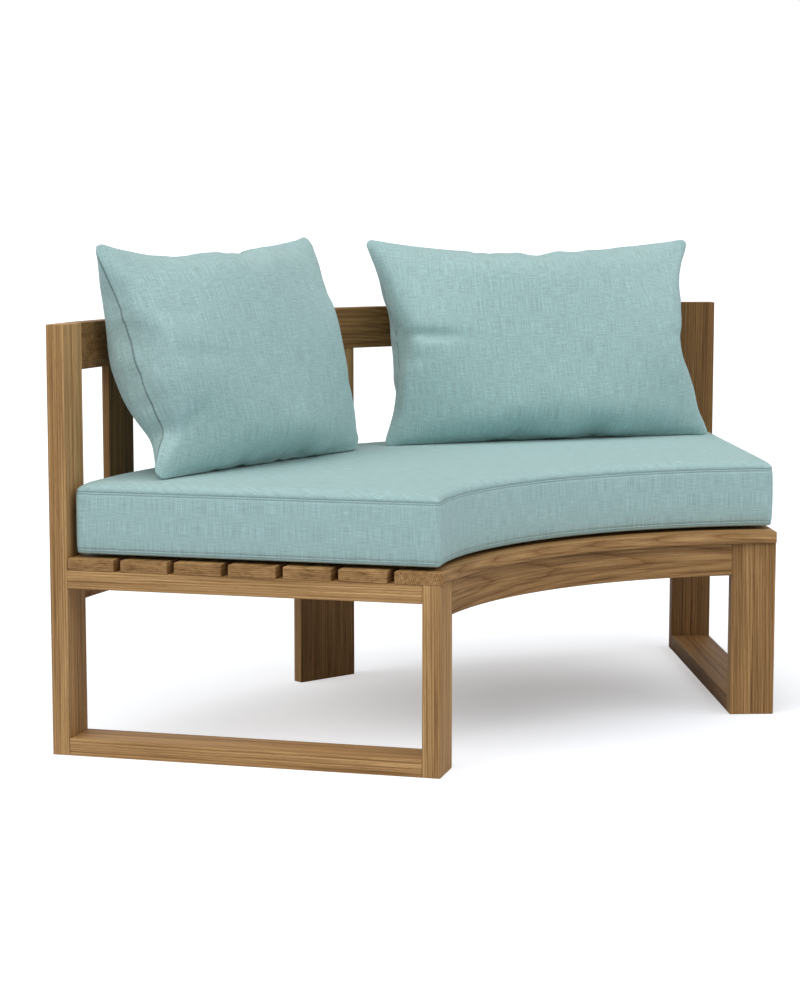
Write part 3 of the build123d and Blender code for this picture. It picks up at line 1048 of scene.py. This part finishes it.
def soften(shape):
    """Evens out the cloth's small ripples, most of all in the middle of the panels."""
    place = shape.verts.layers.float_vector["place"]
    inner = [vertex for vertex in shape.verts if from_middle(vertex, place) < ON_SEAM]
    middle = [vertex for vertex in inner if from_middle(vertex, place) < SMOOTHED]
    for group, rounds in ((inner, 3), (middle, 12)):
        for _ in range(rounds):
            bmesh.ops.smooth_vert(
                shape, verts=group, factor=0.5, use_axis_x=True, use_axis_y=True, use_axis_z=True
            )


def groove(shape):
    """Sinks the stitched seam between the two panels and paints shade along it."""
    place = shape.verts.layers.float_vector["place"]
    rim = [
        edge for edge in shape.edges
        if all(from_middle(vertex, place) > ON_SEAM for vertex in edge.verts)
        and len({face.calc_center_median().z > 0 for face in edge.link_faces}) == 2
    ]
    result = bmesh.ops.bevel(
        shape,
        geom=rim,
        offset=2.8 * MM,
        offset_type="OFFSET",
        segments=2,
        profile=0.5,
        affect="EDGES",
        clamp_overlap=True,
        material=-1,
    )
    strip = set(result["faces"])
    seam_shade = shape.verts.layers.float["seam"]
    shape.normal_update()
    for vertex in result["verts"]:
        if vertex.is_valid and all(face in strip for face in vertex.link_faces):
            vertex.co -= vertex.normal * 1.3 * sizes().seam_depth
            # Full painted shade in the sunk seam
            vertex[seam_shade] = 1


def stand(shape, plan):
    """Turns a pillow from lying flat to leaning at its place on the ring; returns its way up."""
    angle, lean = radians(plan["angle"]), radians(plan["lean"])
    foot = RING_CENTRE + outwards(angle) * plan["radius"] * MM
    foot.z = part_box(plan["node"])[0].z
    along = along_arc(angle)
    rise = UP * cos(lean) + outwards(angle) * sin(lean)
    facing = UP * sin(lean) - outwards(angle) * cos(lean)
    for vertex in shape.verts:
        x, y, z = vertex.co
        vertex.co = foot + along * x + rise * y + facing * z
    return rise


def rest(shape, rise):
    """Lets the foot of the pillow down until it lies on the cushion along its whole width."""
    # The corners stay as they are, and so does all above this share of the height
    corner, reach, columns, clear = 0.93, 0.4, 40, 0.4 * MM
    place = shape.verts.layers.float_vector["place"]
    cushion = BVHTree.FromObject(
        bpy.data.objects["cushion_seat"], bpy.context.evaluated_depsgraph_get()
    )
    gaps = {}
    for vertex in shape.verts:
        if vertex[place].y > -0.5 or abs(vertex[place].x) > corner:
            continue
        below = cushion.ray_cast(vertex.co + UP * 0.1, -UP)[0]
        if below:
            column = round(vertex[place].x * columns)
            gaps[column] = min(gaps.get(column, 1), vertex.co.z - below.z)
    known = sorted(gaps)
    for vertex in shape.verts:
        low = (vertex[place].y + 1) / 2
        if low > reach:
            continue
        column = vertex[place].x * columns
        near = [gaps[key] for key in known if abs(key - column) <= 3]
        near = near or [gaps[min(known, key=lambda key: abs(key - column))]]
        drop = sum(near) / len(near) - clear
        vertex.co -= rise * drop * (1 - low / reach) ** 2


class BENCH_OT_pillows(bpy.types.Operator):
    """Sew, fill and place the two scatter pillows"""

    bl_idname = "bench.pillows"
    bl_label = "Scatter pillows"

    def execute(self, context):
        for plan in PILLOWS:
            self.pillow(plan)
        return {"FINISHED"}

    def pillow(self, plan):
        seam = PillowSeam(plan)
        shape = sewn_panels(seam.width, seam.corner)
        shape = filled(shape, plan["litres"])
        seam.settle(shape)
        soften(shape)
        seam.dent(shape)
        # Layer for the shade painted into the seam, which groove fills
        shape.verts.layers.float.new("seam")
        cloth = shape.verts.layers.float_vector.new("cloth")
        place = shape.verts.layers.float_vector["place"]
        for vertex in shape.verts:
            u, v = vertex[place].x, vertex[place].y
            vertex[cloth] = (u * seam.width / 2, v * PILLOW_HEIGHT / 2, 7)
        groove(shape)
        rest(shape, stand(shape, plan))
        for face in shape.faces:
            face.smooth = True
        name = "pillow_" + plan["node"].replace("_pillow", "")
        piece = save_piece(shape, name, shared_fabric(), plan["node"], plan["node"])
        smooth = piece.modifiers.new("soft_cover", "SUBSURF")
        smooth.levels = smooth.render_levels = 1


# Studio

# Lamps: name, setting for the strength, and azimuth round the bench from straight in front (0) to
# the left (-90), and height, both in degrees
LAMPS = (
    ("key_lamp", "key_strength", -80, 55),
    ("front_lamp", "front_strength", 25, 45),
)
LAMP_SOFTNESS = radians(60)

# The camera that the photograph was taken with, as found by fitting the bench to it
CAMERA_LENS, CAMERA_SENSOR = 84.89, 36
CAMERA_PLACE = Vector((-2.7245, -2.2568, 0.8892))
CAMERA_HEADING, CAMERA_PITCH = radians(38.97), radians(6.98)

# The floor's glow, weaker near the bench as a painted shadow: where it is weakest, from the ring
# centre, and (distance, strength) of its range
GLOW_MIDDLE = Vector((0.18, 0.8, 0))
GLOW_START, GLOW_END = (0.12, 0.34), (0.58, 0.58)


def white_floor():
    """White studio floor: it shows plain white to the camera, with the object's soft shadow and a
    painted shadow where its glow is weaker near the bench.
    """
    material = new_material("white_studio_floor")
    path = add_node(material, "ShaderNodeLightPath")
    diffuse = add_node(material, "ShaderNodeBsdfDiffuse", Color=tuple(colours().floor))
    # The glow rises away from the bench, a painted shadow that keeps its shadow gathered underneath
    place = add_node(material, "ShaderNodeTexCoord").outputs["Object"]
    away = add_node(material, "ShaderNodeVectorMath", {0: place}, operation="DISTANCE")
    away.inputs[1].default_value = RING_CENTRE + GLOW_MIDDLE
    glow = add_node(
        material,
        "ShaderNodeMapRange",
        {"Value": away.outputs["Value"]},
        interpolation_type="SMOOTHSTEP",
        From_Min=GLOW_START[0],
        From_Max=GLOW_END[0],
        To_Min=GLOW_START[1],
        To_Max=GLOW_END[1],
    ).outputs["Result"]
    strength = combined(material, "MULTIPLY", path.outputs["Is Camera Ray"], glow)
    glow = add_node(material, "ShaderNodeEmission", {"Strength": strength}, Color=grey(1.0))
    both = add_node(
        material, "ShaderNodeAddShader", {0: diffuse.outputs["BSDF"], 1: glow.outputs["Emission"]}
    )
    add_node(material, "ShaderNodeOutputMaterial", {"Surface": both.outputs["Shader"]})
    return material


def white_room():
    """Even light from all around, which itself shows as white."""
    world = bpy.data.worlds.new("studio_room")
    world.use_nodes = True
    world.node_tree.nodes.clear()
    path = add_node(world, "ShaderNodeLightPath").outputs
    seen = combined(world, "MAXIMUM", path["Is Camera Ray"], path["Is Glossy Ray"])
    seen = combined(world, "MAXIMUM", seen, path["Is Transmission Ray"])
    strength = add_node(
        world, "ShaderNodeMapRange", {"Value": seen}, To_Min=sizes().sky_strength, To_Max=1.0
    ).outputs["Result"]
    background = add_node(world, "ShaderNodeBackground", {"Strength": strength}, Color=grey(1.0))
    add_node(world, "ShaderNodeOutputWorld", {"Surface": background.outputs["Background"]})
    return world


class BENCH_OT_stage(bpy.types.Operator):
    """Set up the floor, the lamps and the camera"""

    bl_idname = "bench.stage"
    bl_label = "Studio"

    def execute(self, context):
        scene = context.scene
        scene.view_settings.view_transform = "Standard"
        self.floor(scene)
        scene.world = white_room()
        for name, setting, azimuth, height in LAMPS:
            self.lamp(scene, name, getattr(sizes(), setting), radians(azimuth), radians(height))
        self.camera(scene)
        return {"FINISHED"}

    def floor(self, scene):
        shape = bmesh.new()
        bmesh.ops.create_grid(shape, x_segments=1, y_segments=1, size=60)
        mesh = bpy.data.meshes.new("studio_floor")
        shape.to_mesh(mesh)
        shape.free()
        floor = bpy.data.objects.new("studio_floor", mesh)
        scene.collection.objects.link(floor)
        mesh.materials.append(white_floor())

    def lamp(self, scene, name, strength, azimuth, height):
        light = bpy.data.lights.new(name, "SUN")
        light.energy = strength
        light.angle = LAMP_SOFTNESS
        holder = bpy.data.objects.new(name, light)
        scene.collection.objects.link(holder)
        towards = Vector((sin(azimuth), -cos(azimuth), 0)) * cos(height) + UP * sin(height)
        holder.rotation_euler = (-towards).to_track_quat("-Z", "Y").to_euler()

    def camera(self, scene):
        camera = bpy.data.cameras.new("photo_camera")
        camera.lens = CAMERA_LENS
        camera.sensor_width = CAMERA_SENSOR
        camera.clip_end = 200
        viewer = bpy.data.objects.new("photo_camera", camera)
        scene.collection.objects.link(viewer)
        look = outwards(CAMERA_HEADING) * cos(CAMERA_PITCH) - UP * sin(CAMERA_PITCH)
        viewer.location = RING_CENTRE + CAMERA_PLACE
        viewer.rotation_euler = look.to_track_quat("-Z", "Y").to_euler()
        scene.camera = viewer


class BENCH_PT_panel(bpy.types.Panel):
    """Sidebar panel with the bench's sizes, colours and steps"""

    bl_label = "Curved Teak Bench"
    bl_idname = "BENCH_PT_panel"
    bl_space_type = "VIEW_3D"
    bl_region_type = "UI"
    bl_category = "Bench"

    def draw(self, context):
        for group in (context.scene.bench_sizes, context.scene.bench_colours):
            for name in group.__annotations__:
                self.layout.prop(group, name)
        for operator in OPERATORS:
            self.layout.operator(operator.bl_idname)


OPERATORS = (BENCH_OT_timber, BENCH_OT_cushion, BENCH_OT_pillows, BENCH_OT_stage)
CLASSES = (BenchSizes, BenchColours, *OPERATORS, BENCH_PT_panel)


def register():
    for each in CLASSES:
        bpy.utils.register_class(each)
    bpy.types.Scene.bench_sizes = PointerProperty(type=BenchSizes)
    bpy.types.Scene.bench_colours = PointerProperty(type=BenchColours)


def unregister():
    del bpy.types.Scene.bench_colours
    del bpy.types.Scene.bench_sizes
    for each in reversed(CLASSES):
        bpy.utils.unregister_class(each)


def main():
    register()
    bpy.ops.bench.timber()
    bpy.ops.bench.cushion()
    bpy.ops.bench.pillows()
    bpy.ops.bench.stage()


if __name__ == "__main__":
    main()
